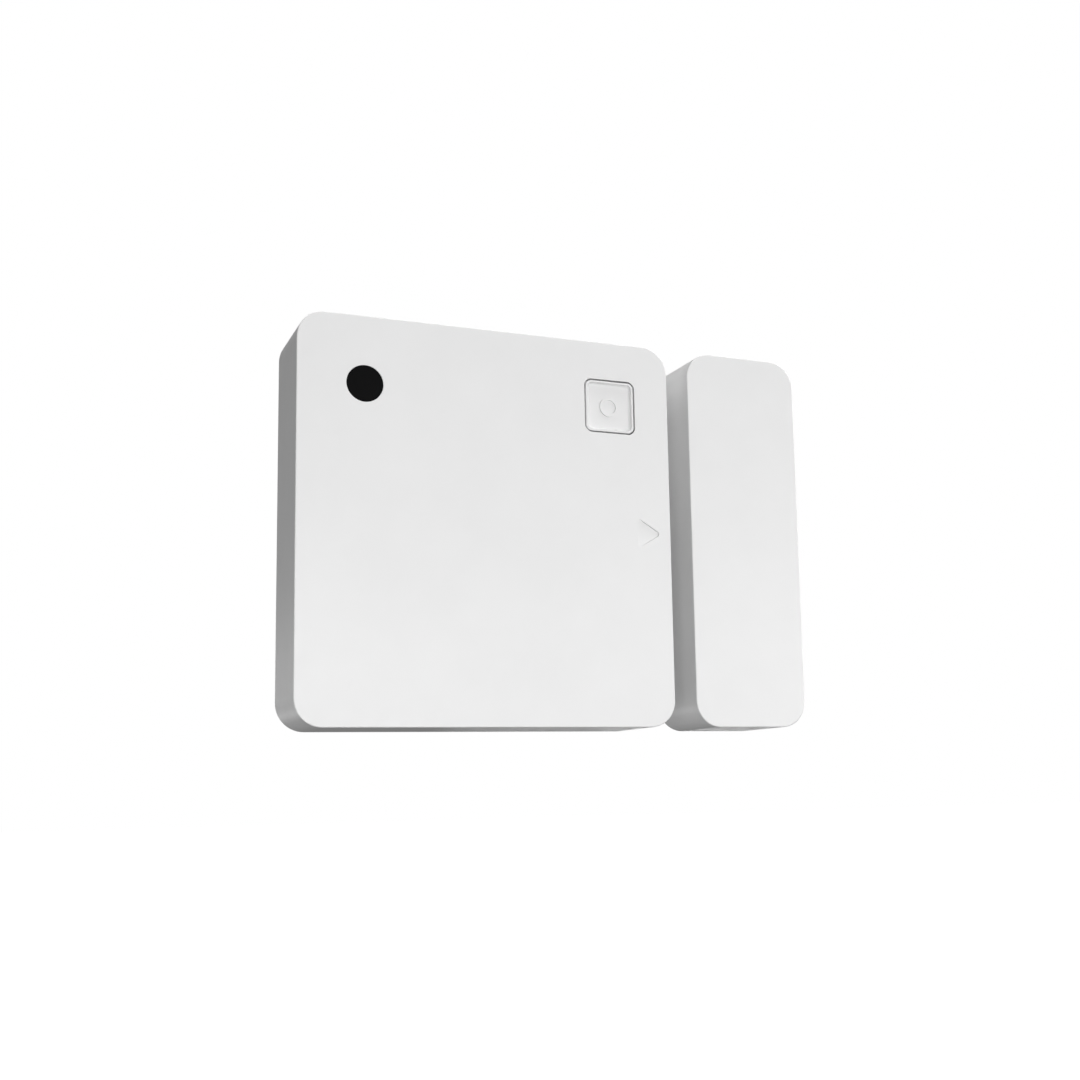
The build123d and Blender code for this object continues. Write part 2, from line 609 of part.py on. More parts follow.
def light_sensor_chip():
    x, y = WINDOW_CENTRE
    centre = (x + LIGHT_CHIP_OFFSET, y)
    top = BOARD_FRONT + LIGHT_CHIP_HEIGHT
    lens_diameter, lens_height = LIGHT_CHIP_LENS
    chip = slab(LIGHT_CHIP_SIZE, LIGHT_CHIP_SIZE, BOARD_FRONT, top, centre)
    return chip + disc(lens_diameter, top, top + lens_height, centre)


def status_led():
    x, y = WINDOW_CENTRE
    centre = (x + LED_OFFSET, y)
    width, height, base_height = LED_BASE_SIZE
    top = BOARD_FRONT + base_height
    base = slab(width, height, BOARD_FRONT, top, centre)
    lens_width, lens_length, lens_height = LED_LENS_SIZE
    return base + rounded_slab(lens_width, lens_length, 0.2, top, top + lens_height, centre)


# ---------------------------------------------------------------- sensor unit: reed switch
def reed_glass():
    """The sealed glass tube, drawn along Z and then laid along Y."""
    radius = REED_GLASS_DIAMETER / 2
    half = REED_GLASS_LENGTH / 2
    tube = Cylinder(radius, REED_GLASS_LENGTH)
    tube = fillet(tube.edges().filter_by(GeomType.CIRCLE), REED_GLASS_END_RADIUS)
    tube -= Cylinder(radius - REED_GLASS_WALL, 2 * (half - REED_GLASS_SEAL))
    tube -= Cylinder(REED_LEAD_DIAMETER / 2 + REED_LEAD_FIT, REED_GLASS_LENGTH)
    return Pos(REED_CENTRE_X, 0, REED_AXIS) * Rot(X=90) * tube


def reed_lead(side, inner_end):
    """A round lead: out of the glass, then turned into the board. side is 1 for the upper one."""
    path = FilletPolyline(
        (REED_CENTRE_X, side * inner_end, REED_AXIS),
        (REED_CENTRE_X, side * REED_LEAD_SPAN, REED_AXIS),
        (REED_CENTRE_X, side * REED_LEAD_SPAN, BOARD_FRONT + 0.2),
        radius=REED_LEAD_BEND,
    )
    section = Plane(origin=path @ 0, z_dir=path % 0) * Circle(REED_LEAD_DIAMETER / 2)
    return sweep(section, path)


def reed_lead_lower():
    """The lower lead and its fixed blade, which is the lead pressed flat."""
    low = REED_AXIS + REED_CONTACT_GAP / 2
    length = REED_BLADE_ROOT + REED_BLADE_OVERLAP
    middle = (REED_CENTRE_X, -REED_BLADE_ROOT + length / 2)
    blade = slab(REED_BLADE_WIDTH, length, low, low + REED_BLADE_THICKNESS, middle)
    return reed_lead(-1, REED_BLADE_ROOT - 0.15) + blade


def reed_lead_upper():
    return reed_lead(1, REED_BLADE_ROOT + 0.02)


def reed_blade():
    """The springy upper blade, which rests on the lower one while the magnet is near."""
    high = REED_AXIS - REED_CONTACT_GAP / 2
    length = REED_BLADE_ROOT + REED_BLADE_OVERLAP
    middle = (REED_CENTRE_X, REED_BLADE_ROOT - length / 2)
    return slab(REED_BLADE_WIDTH, length, high - REED_BLADE_THICKNESS, high, middle)


def reed_solder_joints():
    joints = []
    low, wide, narrow = BOARD_FRONT, 0.65, 0.35
    high = low + REED_JOINT_HEIGHT
    bore = REED_LEAD_DIAMETER + 2 * REED_LEAD_FIT
    for side in (-1, 1):
        centre = (REED_CENTRE_X, side * REED_LEAD_SPAN)
        cone = turned(((0, low), (wide, low), (narrow, high), (0, high)), centre)
        joints.append(cone - disc(bore, low, high, centre))
    return joints


# ---------------------------------------------------------------- sensor unit: coin cell and its holder
def coin_cell_can():
    """The positive can, crimped inwards over the gasket at its front edge."""
    r, rear = CELL_DIAMETER / 2, CELL_REAR
    return turned(
        (
            (0, rear), (r - 0.3, rear), (r - 0.08, rear + 0.08), (r, rear + 0.3),
            (r, rear + 2.5), (r - 0.12, rear + 2.78), (r - 0.4, rear + 2.95), (r - 0.85, rear + 3.0),
            (r - 0.85, rear + 2.8), (r - 0.45, rear + 2.72), (r - 0.25, rear + 2.45), (r - 0.25, rear + 0.25),
            (0, rear + 0.25),
        ),
        CELL_CENTRE,
    )


def coin_cell_gasket():
    r, rear = CELL_DIAMETER / 2, CELL_REAR
    return turned(
        (
            (r - 0.27, rear + 0.3), (r - 0.27, rear + 0.6), (r - 0.87, rear + 0.6),
            (r - 0.87, rear + 3.02), (r - 1.05, rear + 3.02), (r - 1.05, rear + 0.3),
        ),
        CELL_CENTRE,
    )


def coin_cell_cap():
    """The negative cap: a shallow cup whose bottom faces the board."""
    r, rear, front = CELL_CAP_RADIUS, CELL_REAR, CELL_FRONT
    return turned(
        (
            (0, front), (r - 0.45, front), (r - 0.12, front - 0.1), (r, front - 0.35),
            (r, rear + 0.6), (r - 0.25, rear + 0.6), (r - 0.25, front - 0.4), (r - 0.5, front - 0.25),
            (0, front - 0.25),
        ),
        CELL_CENTRE,
    )


def coin_cell_electrodes():
    low, high = CELL_REAR + CELL_CAP_TO_ELECTRODES, CELL_FRONT - CELL_CAP_TO_ELECTRODES
    return disc(CELL_ELECTRODES_DIAMETER, low, high, CELL_CENTRE)


def battery_holder():
    """A moulded ring on the board's rear, cut away for the side contact and for a fingertip."""
    inside = HOLDER_INSIDE_DIAMETER
    outside = inside + 2 * HOLDER_WALL
    ring = disc(outside, HOLDER_REAR, BOARD_REAR, CELL_CENTRE)
    ring -= disc(inside, HOLDER_REAR, BOARD_REAR, CELL_CENTRE)
    x, y = CELL_CENTRE
    ring -= slab(*HOLDER_CONTACT_GAP, HOLDER_REAR, BOARD_REAR, (x + outside / 2, y))
    turn = Pos(x, y, 0) * Rot(Z=HOLDER_FINGER_ANGLE)
    ring -= turn * Pos(outside / 2, 0, HOLDER_REAR) * Box(*HOLDER_FINGER_GAP)
    for centre in holder_pin_centres():
        ring += disc(HOLDER_PIN_DIAMETER, BOARD_REAR - HOLDER_PIN_ROOT, BOARD_FRONT, centre)
    return ring


def battery_positive_contact():
    """A folded steel strip: a foot on the board, an upright, and a bowed tongue against the can's rim."""
    x, y = CELL_CENTRE
    rim = x + CELL_DIAMETER / 2
    sheet, width = POSITIVE_SHEET, POSITIVE_WIDTH
    upright_x = rim + 1.15
    strip = FilletPolyline(
        (upright_x + POSITIVE_FOOT, BOARD_REAR - sheet / 2),
        (upright_x, BOARD_REAR - sheet / 2),
        (upright_x, HOLDER_REAR + 0.1),
        radius=0.25,
    )
    rim_level = HOLDER_REAR + 1.25
    tongue = FilletPolyline(
        (upright_x - sheet / 2 + 0.02, HOLDER_REAR + 0.2),
        (upright_x - 0.4, HOLDER_REAR + 0.2),
        (rim + 0.02 + sheet / 2, rim_level),
        (upright_x - 0.55, BOARD_REAR - 0.6),
        radius=0.2,
    )
    return side_strip(strip, sheet, width, (0, y)) + side_strip(tongue, sheet, width - 2.0, (0, y))


def battery_negative_contact():
    """A sprung cross of thin steel under the cell, with a dimple near the end of each arm."""
    low = BOARD_REAR - NEGATIVE_SHEET
    length, width = NEGATIVE_ARM
    cross = rounded_slab(length, width, NEGATIVE_ARM_RADIUS, low, BOARD_REAR, CELL_CENTRE)
    cross += rounded_slab(width, length, NEGATIVE_ARM_RADIUS, low, BOARD_REAR, CELL_CENTRE)
    x, y = CELL_CENTRE
    out = NEGATIVE_DIMPLE_OFFSET
    for angle in range(0, 360, 90):
        centre = (x + out * cos(radians(angle)), y + out * sin(radians(angle)))
        dimple = disc(NEGATIVE_DIMPLE_DIAMETER, CELL_FRONT, low, centre)
        cross += fillet(dimple.edges().sort_by(Axis.Z)[0], 0.1)
    return cross


# ---------------------------------------------------------------- magnet unit
def magnet_front_housing():
    width, centre_x = MAGNET_CASE_WIDTH, MAGNET_CASE_X
    housing = case_outside(width, centre_x) - case_inside(width, centre_x)
    for rib in stop_ribs(width, centre_x, along_x=(0,), along_y=(-3, 3)):
        housing += rib
    magnet_width, magnet_height, magnet_depth = MAGNET_SIZE
    inner = width - 2 * SIDE_WALL + DRAFT
    magnet_front = magnet_level() + magnet_depth
    low = magnet_level()
    for y in (-MAGNET_RIB_OFFSET, 0, MAGNET_RIB_OFFSET):  # the magnet lies on these
        housing += slab(inner, MAGNET_RIB, magnet_front + MAGNET_FIT, CASE_INSIDE_FRONT, (centre_x, y))
    for side in (-1, 1):
        end = side * (magnet_height / 2 + MAGNET_PLAY + MAGNET_RIB / 2)
        housing += slab(inner, MAGNET_RIB, low, CASE_INSIDE_FRONT, (centre_x, end))
        for y in (-MAGNET_RIB_OFFSET, MAGNET_RIB_OFFSET):
            reach = (inner - magnet_width) / 2 - MAGNET_PLAY
            middle = centre_x + side * (magnet_width / 2 + MAGNET_PLAY + reach / 2)
            housing += slab(reach, MAGNET_RIB, low, CASE_INSIDE_FRONT, (middle, y))
        for y in (-MAGNET_HOOK_OFFSET, MAGNET_HOOK_OFFSET):
            housing -= hook_pocket(width, centre_x, side, y)
    return housing


def magnet_level():
    """The rear face of the bar magnet."""
    return COVER_INSIDE + MAGNET_ABOVE_COVER


def magnet_back_cover():
    """The magnet unit's rear cover, with its hooks and the two ribs that press on the magnet."""
    cover = cover_plate(MAGNET_CASE_WIDTH, MAGNET_CASE_X)
    for side in (-1, 1):
        for y in (-MAGNET_HOOK_OFFSET, MAGNET_HOOK_OFFSET):
            cover += hook(MAGNET_CASE_WIDTH, MAGNET_CASE_X, side, y)
    top = magnet_level() - MAGNET_FIT
    for y in (-MAGNET_PRESS_RIB_OFFSET, MAGNET_PRESS_RIB_OFFSET):
        cover += slab(MAGNET_PRESS_RIB_WIDTH, MAGNET_RIB, COVER_INSIDE, top, (MAGNET_CASE_X, y))
    return cover


def bar_magnet():
    width, height, depth = MAGNET_SIZE
    bar = slab(width, height, magnet_level(), magnet_level() + depth, (MAGNET_CASE_X, 0))
    return fillet(bar.edges(), 0.3)


def magnet_adhesive_pad():
    return rounded_slab(
        MAGNET_CASE_WIDTH - 2 * MAGNET_PAD_INSET,
        CASE_HEIGHT - 2 * PAD_INSET,
        1.5,
        0,
        PAD_THICKNESS,
        (MAGNET_CASE_X, 0),
    )


# ---------------------------------------------------------------- writing the pieces
PIECES = (
    sensor_front_housing,
    sensor_back_cover,
    back_cover_snap_hooks,
    sensor_adhesive_pad,
    light_sensor_window,
    button_cap,
    tact_switch_base,
    tact_switch_cover,
    tact_switch_terminals,
    tact_switch_dome,
    tact_switch_plunger,
    circuit_board,
    trace_antenna,
    test_pads,
    radio_chip,
    radio_chip_lands,
    crystal_oscillator,
    chip_component_bodies,
    chip_component_terminals,
    light_sensor_chip,
    status_led,
    reed_glass,
    reed_lead_lower,
    reed_lead_upper,
    reed_blade,
    reed_solder_joints,
    coin_cell_can,
    coin_cell_gasket,
    coin_cell_cap,
    coin_cell_electrodes,
    battery_holder,
    battery_positive_contact,
    battery_negative_contact,
    magnet_front_housing,
    magnet_back_cover,
    bar_magnet,
    magnet_adhesive_pad,
)


def stand_up(shape):
    """Turns a piece from the drawing's axes to the part's: +Z up, with the front facing -Y."""
    solids = [s for piece in (shape if isinstance(shape, list) else [shape]) for s in piece.solids()]
    return Compound([Rot(X=90) * solid for solid in solids])


def main():
    os.makedirs("parts", exist_ok=True)
    for piece in PIECES:
        export_step(stand_up(piece()), f"parts/{piece.__name__}.step")
    print("button travel", BUTTON_TRAVEL)
    print("magnet mount", MAGNET_CASE_X)
    blade_middle = REED_AXIS - (REED_CONTACT_GAP + REED_BLADE_THICKNESS) / 2
    print("reed blade root", REED_CENTRE_X, -blade_middle, REED_BLADE_ROOT)
    print("reed blade opens by degrees", REED_OPEN_ANGLE)


main()
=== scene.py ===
import json
import math
import random

import bmesh
import bpy
from mathutils import Matrix, Vector


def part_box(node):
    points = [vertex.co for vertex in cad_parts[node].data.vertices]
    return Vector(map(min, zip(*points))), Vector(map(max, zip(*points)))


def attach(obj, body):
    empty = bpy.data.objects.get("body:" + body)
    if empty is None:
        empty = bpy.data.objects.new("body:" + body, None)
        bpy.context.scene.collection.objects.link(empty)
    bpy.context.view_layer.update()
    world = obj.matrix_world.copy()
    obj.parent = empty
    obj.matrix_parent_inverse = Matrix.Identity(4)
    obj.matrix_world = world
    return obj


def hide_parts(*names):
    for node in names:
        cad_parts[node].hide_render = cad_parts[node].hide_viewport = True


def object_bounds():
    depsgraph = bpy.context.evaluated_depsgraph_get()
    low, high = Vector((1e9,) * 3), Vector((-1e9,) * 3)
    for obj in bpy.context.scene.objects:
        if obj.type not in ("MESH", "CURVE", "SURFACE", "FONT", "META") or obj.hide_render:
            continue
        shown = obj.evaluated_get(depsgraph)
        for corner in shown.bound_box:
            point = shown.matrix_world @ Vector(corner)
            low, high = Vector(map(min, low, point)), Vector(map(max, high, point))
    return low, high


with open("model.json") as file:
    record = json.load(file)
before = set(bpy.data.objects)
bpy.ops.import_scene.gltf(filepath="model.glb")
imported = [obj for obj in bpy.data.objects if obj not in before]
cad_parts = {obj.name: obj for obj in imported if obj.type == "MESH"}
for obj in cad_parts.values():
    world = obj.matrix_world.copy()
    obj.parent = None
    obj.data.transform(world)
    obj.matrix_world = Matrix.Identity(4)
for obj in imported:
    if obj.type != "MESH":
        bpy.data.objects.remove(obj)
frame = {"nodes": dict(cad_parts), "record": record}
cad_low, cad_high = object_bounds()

# A door contact sensor: a white sensor unit with a push button, and its magnet unit. Lengths are in metres.

MM = 0.001
RANDOM_SEED = 7

nodes = frame["nodes"]


# ---------------------------------------------------------------- node-tree helpers
def new_material(name):
    material = bpy.data.materials.new(name)
    material.use_nodes = True
    tree = material.node_tree
    return material, tree, tree.nodes["Principled BSDF"]


def coordinates(tree, centre=(0, 0, 0), stretch=(1, 1, 1)):
    """Object coordinates in millimetres from a point, stretched along the axes."""
    source = tree.nodes.new("ShaderNodeTexCoord")
    mapping = tree.nodes.new("ShaderNodeMapping")
    mapping.vector_type = "POINT"
    mapping.inputs["Scale"].default_value = [s / MM for s in stretch]
    mapping.inputs["Location"].default_value = [-c * s / MM for c, s in zip(centre, stretch)]
    tree.links.new(source.outputs["Object"], mapping.inputs["Vector"])
    return mapping.outputs["Vector"]


def noise(tree, vector, scale, detail=2.0):
    node = tree.nodes.new("ShaderNodeTexNoise")
    node.inputs["Scale"].default_value = scale
    node.inputs["Detail"].default_value = detail
    tree.links.new(vector, node.inputs["Vector"])
    return node.outputs["Fac"]


def cells(tree, vector, scale):
    node = tree.nodes.new("ShaderNodeTexVoronoi")
    node.inputs["Scale"].default_value = scale
    tree.links.new(vector, node.inputs["Vector"])
    return node.outputs["Distance"]


def waves(tree, vector, scale, direction="X", kind="BANDS", distortion=0.0):
    node = tree.nodes.new("ShaderNodeTexWave")
    node.wave_type = kind
    if kind == "BANDS":
        node.bands_direction = direction
    else:
        node.rings_direction = direction
    node.inputs["Scale"].default_value = scale
    node.inputs["Distortion"].default_value = distortion
    tree.links.new(vector, node.inputs["Vector"])
    return node.outputs["Fac"]


def combine(tree, operation, first, second):
    node = tree.nodes.new("ShaderNodeMath")
    node.operation = operation
    for socket, value in zip(node.inputs, (first, second)):
        if isinstance(value, (int, float)):
            socket.default_value = value
        else:
            tree.links.new(value, socket)
    return node.outputs["Value"]


def spread(tree, value, low, high, from_low=0.3, from_high=0.7):
    """Maps a pattern's value to the range from low to high."""
    node = tree.nodes.new("ShaderNodeMapRange")
    node.inputs["From Min"].default_value = from_low
    node.inputs["From Max"].default_value = from_high
    node.inputs["To Min"].default_value = low
    node.inputs["To Max"].default_value = high
    tree.links.new(value, node.inputs["Value"])
    return node.outputs["Result"]


def tint(tree, value, dark, light, from_low=0.3, from_high=0.7):
    node = tree.nodes.new("ShaderNodeValToRGB")
    first, second = node.color_ramp.elements
    first.position, second.position = from_low, from_high
    first.color, second.color = (*dark, 1), (*light, 1)
    tree.links.new(value, node.inputs["Fac"])
    return node.outputs["Color"]


def relief(tree, height, depth_mm, strength=1.0, under=None):
    node = tree.nodes.new("ShaderNodeBump")
    node.inputs["Strength"].default_value = strength
    node.inputs["Distance"].default_value = depth_mm * MM
    tree.links.new(height, node.inputs["Height"])
    if under is not None:
        tree.links.new(under, node.inputs["Normal"])
    return node.outputs["Normal"]


def shade(color, factor):
    return tuple(min(1.0, c * factor) for c in color)


# ---------------------------------------------------------------- materials
def moulded_plastic(
    name, color, roughness, grain=7.0, grain_depth=0.004, mottle=0.012, clear_coat=0.0, specular=0.5
):
    """Injection-moulded plastic: spark-eroded grain, faint flow marks and slightly uneven gloss."""
    material, tree, bsdf = new_material(name)
    place = coordinates(tree)
    flow = noise(tree, place, 0.16, 3)
    tree.links.new(
        tint(tree, flow, shade(color, 1 - mottle), shade(color, 1 + mottle)), bsdf.inputs["Base Color"]
    )
    gloss = noise(tree, place, 0.9, 4)
    tree.links.new(spread(tree, gloss, roughness - 0.04, roughness + 0.04), bsdf.inputs["Roughness"])
    ripple = relief(tree, noise(tree, place, 0.35, 2), 0.006)
    fine = relief(tree, noise(tree, place, grain, 3), grain_depth, under=ripple)
    tree.links.new(fine, bsdf.inputs["Normal"])
    bsdf.inputs["Coat Weight"].default_value = clear_coat
    bsdf.inputs["Specular IOR Level"].default_value = specular
    return material


def metal(name, color, roughness, stretch=(1, 12, 1), scale=1.8, depth=0.0008):
    """Rolled or stamped metal, with fine marks drawn out one way and cloudy tarnish."""
    material, tree, bsdf = new_material(name)
    bsdf.inputs["Metallic"].default_value = 1.0
    cloud = noise(tree, coordinates(tree), 0.35, 5)
    tree.links.new(tint(tree, cloud, shade(color, 0.95), shade(color, 1.03)), bsdf.inputs["Base Color"])
    marks = noise(tree, coordinates(tree, stretch=stretch), scale, 3)
    tree.links.new(spread(tree, marks, roughness, roughness + 0.07), bsdf.inputs["Roughness"])
    tree.links.new(relief(tree, marks, depth), bsdf.inputs["Normal"])
    return material


def turned_steel(name, centre):
    """Nickel-plated steel with fine rings about the cell's axis, and handling marks."""
    material, tree, bsdf = new_material(name)
    bsdf.inputs["Metallic"].default_value = 1.0
    rings = waves(tree, coordinates(tree, centre=centre), 1.1, "Y", "RINGS", 0.5)
    cloud = noise(tree, coordinates(tree), 0.22, 6)
    tree.links.new(tint(tree, cloud, (0.62, 0.61, 0.59), (0.69, 0.68, 0.66)), bsdf.inputs["Base Color"])
    wear = combine(tree, "ADD", combine(tree, "MULTIPLY", rings, 0.35), cloud)
    tree.links.new(spread(tree, wear, 0.20, 0.38, 0.35, 1.0), bsdf.inputs["Roughness"])
    tree.links.new(relief(tree, rings, 0.0012), bsdf.inputs["Normal"])
    return material


def closed_cell_foam(name, color):
    """Foam tape: fine pores under a thin adhesive film that keeps the diamond print of its release liner."""
    material, tree, bsdf = new_material(name)
    place = coordinates(tree)
    pores = cells(tree, place, 7.0)
    broad = noise(tree, place, 0.5, 4)
    fine_part, broad_part = combine(tree, "MULTIPLY", pores, 0.6), combine(tree, "MULTIPLY", broad, 0.4)
    speckle = combine(tree, "ADD", fine_part, broad_part)
    tree.links.new(
        tint(tree, speckle, shade(color, 0.84), shade(color, 1.08), 0.15, 0.55), bsdf.inputs["Base Color"]
    )
    tree.links.new(spread(tree, broad, 0.42, 0.6), bsdf.inputs["Roughness"])
    print_one = waves(tree, place, 0.26, "DIAGONAL")
    turned = coordinates(tree, stretch=(-1, 1, 1))
    print_two = waves(tree, turned, 0.26, "DIAGONAL")
    diamonds = combine(tree, "MAXIMUM", print_one, print_two)
    hollow = relief(tree, pores, 0.018, 0.7)
    tree.links.new(relief(tree, diamonds, 0.012, 0.6, under=hollow), bsdf.inputs["Normal"])
    return material


def board_laminate(name):
    """Green solder mask over a glass-fibre weave, which shows faintly through it."""
    material, tree, bsdf = new_material(name)
    place = coordinates(tree)
    weave = combine(tree, "ADD", waves(tree, place, 0.75, "X", distortion=0.6),
                    waves(tree, place, 0.75, "Z", distortion=0.6))
    tree.links.new(tint(tree, weave, (0.012, 0.115, 0.048), (0.020, 0.155, 0.066), 0.2, 1.7),
                   bsdf.inputs["Base Color"])
    tree.links.new(spread(tree, noise(tree, place, 1.4, 3), 0.26, 0.4), bsdf.inputs["Roughness"])
    tree.links.new(relief(tree, weave, 0.006, 0.6), bsdf.inputs["Normal"])
    bsdf.inputs["Coat Weight"].default_value = 0.35
    bsdf.inputs["Coat Roughness"].default_value = 0.18
    return material


def clear_glass(name, color):
    """Reed-switch glass: slightly green, with faint draw lines along the tube."""
    material, tree, bsdf = new_material(name)
    bsdf.inputs["Transmission Weight"].default_value = 0.92
    bsdf.inputs["IOR"].default_value = 1.5
    lines = noise(tree, coordinates(tree, stretch=(1, 1, 0.15)), 3.0, 3)
    tree.links.new(tint(tree, lines, shade(color, 0.93), shade(color, 1.05)), bsdf.inputs["Base Color"])
    tree.links.new(spread(tree, lines, 0.02, 0.07), bsdf.inputs["Roughness"])
    tree.links.new(relief(tree, lines, 0.004, 0.4), bsdf.inputs["Normal"])
    return material


def middle(node):
    low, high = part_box(node)
    return (low + high) / 2


CASE_WHITE = (0.80, 0.80, 0.80)

LOOKS = {
    "case_white": moulded_plastic("case_white_look", CASE_WHITE, 0.36),
    "button_white": moulded_plastic("button_white_look", CASE_WHITE, 0.34, grain=9.0, grain_depth=0.002),
    "dark_window": moulded_plastic(
        "dark_window_look", (0.0040, 0.0040, 0.0042), 0.4,
        grain=5.0, grain_depth=0.002, mottle=0.15, specular=0.04,
    ),
    "foam_pad": closed_cell_foam("foam_pad_look", (0.34, 0.35, 0.36)),
    "black_moulding": moulded_plastic("black_moulding_look", (0.022, 0.022, 0.024), 0.5, mottle=0.12),
    "stamped_steel": metal("stamped_steel_look", (0.62, 0.62, 0.61), 0.30),
    "tinned_metal": metal("tinned_metal_look", (0.76, 0.76, 0.74), 0.27, stretch=(1, 1, 1), scale=1.4),
    "solder_mask": board_laminate("solder_mask_look"),
    "masked_copper": moulded_plastic(
        "masked_copper_look", (0.035, 0.24, 0.10), 0.3, mottle=0.08, clear_coat=0.3
    ),
    "gold_pads": metal("gold_pads_look", (0.86, 0.66, 0.30), 0.22, stretch=(1, 1, 1), scale=2.2),
    "chip_epoxy": moulded_plastic("chip_epoxy_look", (0.02, 0.02, 0.021), 0.55, grain=11.0, mottle=0.2),
    "chip_ceramic": moulded_plastic("chip_ceramic_look", (0.42, 0.30, 0.19), 0.5, grain=14.0, mottle=0.1),
    "clear_epoxy": moulded_plastic("clear_epoxy_look", (0.50, 0.50, 0.45), 0.16, mottle=0.04, clear_coat=0.5),
    "led_epoxy": moulded_plastic("led_epoxy_look", (0.84, 0.76, 0.34), 0.2, mottle=0.05, clear_coat=0.5),
    "reed_glass": clear_glass("reed_glass_look", (0.86, 0.95, 0.88)),
    "solder": metal("solder_look", (0.70, 0.71, 0.72), 0.2, stretch=(1, 1, 1), scale=2.0),
    "cell_steel": turned_steel("cell_steel_look", middle("coin_cell_can")),
    "cell_gasket": moulded_plastic("cell_gasket_look", (0.68, 0.67, 0.62), 0.45, mottle=0.05),
    "cell_filling": moulded_plastic("cell_filling_look", (0.10, 0.10, 0.10), 0.7, mottle=0.2),
    "magnet_nickel": metal("magnet_nickel_look", (0.70, 0.68, 0.64), 0.16, stretch=(1, 1, 1), scale=1.5),
}

for part in frame["record"]["subparts"]:
    slots = nodes[part["node"]].material_slots
    for slot in slots:
        slot.material = LOOKS[part["material_slot"]]


# ---------------------------------------------------------------- mesh helpers
def add_piece(name, vertices, faces, body, slot, crease=35):
    """A new piece from its points and faces, smooth except along edges sharper than crease degrees."""
    mesh = bpy.data.meshes.new(name)
    mesh.from_pydata(vertices, [], faces)
    shape = bmesh.new()
    shape.from_mesh(mesh)
    bmesh.ops.recalc_face_normals(shape, faces=shape.faces)
    shape.to_mesh(mesh)
    shape.free()
    mesh.polygons.foreach_set("use_smooth", [True] * len(mesh.polygons))
    mesh.set_sharp_from_angle(angle=math.radians(crease))
    mesh.materials.append(LOOKS[slot])
    piece = bpy.data.objects.new(name, mesh)
    bpy.context.scene.collection.objects.link(piece)
    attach(piece, body)
    return piece


def solid_boxes(node):
    """The lowest and highest corners of each separate solid in a CAD node."""
    shape = bmesh.new()
    shape.from_mesh(nodes[node].data)
    bmesh.ops.remove_doubles(shape, verts=shape.verts, dist=0.001 * MM)
    boxes, seen = [], set()
    for start in shape.verts:
        if start in seen:
            continue
        group, queue = [], [start]
        seen.add(start)
        while queue:
            vertex = queue.pop()
            group.append(vertex.co.copy())
            for edge in vertex.link_edges:
                other = edge.other_vert(vertex)
                if other not in seen:
                    seen.add(other)
                    queue.append(other)
        boxes.append((Vector(map(min, zip(*group))), Vector(map(max, zip(*group)))))
    shape.free()
    return boxes


class Solids:
    """Gathers closed shapes into one mesh."""

    def __init__(self):
        self.vertices, self.faces = [], []

    def rings(self, rings):
        """A closed tube through equal rings of points, with its ends capped."""
        count, first = len(rings[0]), len(self.vertices)
        for ring in rings:
            self.vertices += ring
        for level in range(len(rings) - 1):
            low = first + level * count
            for step in range(count):
                after = (step + 1) % count
                self.faces.append((low + step, low + after, low + count + after, low + count + step))
        last = first + (len(rings) - 1) * count
        self.faces.append(tuple(reversed(range(first, first + count))))
        self.faces.append(tuple(range(last, last + count)))


# ---------------------------------------------------------------- adhesive foam pads
PAD_FILM = 0.05 * MM  # the adhesive layer on each face of the foam
PAD_FILM_INSET = 0.02 * MM
PAD_FILM_ROUND = 0.015 * MM
PAD_WAIST = 0.10 * MM  # how far the cut edge of the foam draws in
PAD_PORE = 0.045 * MM
PAD_EDGE_LEVELS = 9
PAD_FACE_RINGS = 6
PAD_POINT_STEP = 0.25 * MM
PAD_CORNER_STEPS = 12
PAD_SMALLEST_CORNER = 0.12 * MM
PAD_INNERMOST = 0.45  # how far in the last ring of each face lies, as a share of the pad's width


def rounded_ring(width, height, radius, side_steps):
    """Points round a rounded rectangle about the origin, with side_steps along its top and its side."""
    ring = []
    for quarter in range(4):
        across = 1 if quarter in (0, 3) else -1
        upward = 1 if quarter in (0, 1) else -1
        centre_x, centre_z = across * (width / 2 - radius), upward * (height / 2 - radius)
        for step in range(PAD_CORNER_STEPS + 1):
            angle = (quarter + step / PAD_CORNER_STEPS) * math.pi / 2
            ring.append((centre_x + radius * math.cos(angle), centre_z + radius * math.sin(angle)))
        steps = side_steps[quarter % 2]
        end = ring[-1]
        run = (-2 * centre_x, 0) if quarter % 2 == 0 else (0, -2 * centre_z)
        for step in range(1, steps):
            ring.append((end[0] + run[0] * step / steps, end[1] + run[1] * step / steps))
    return ring


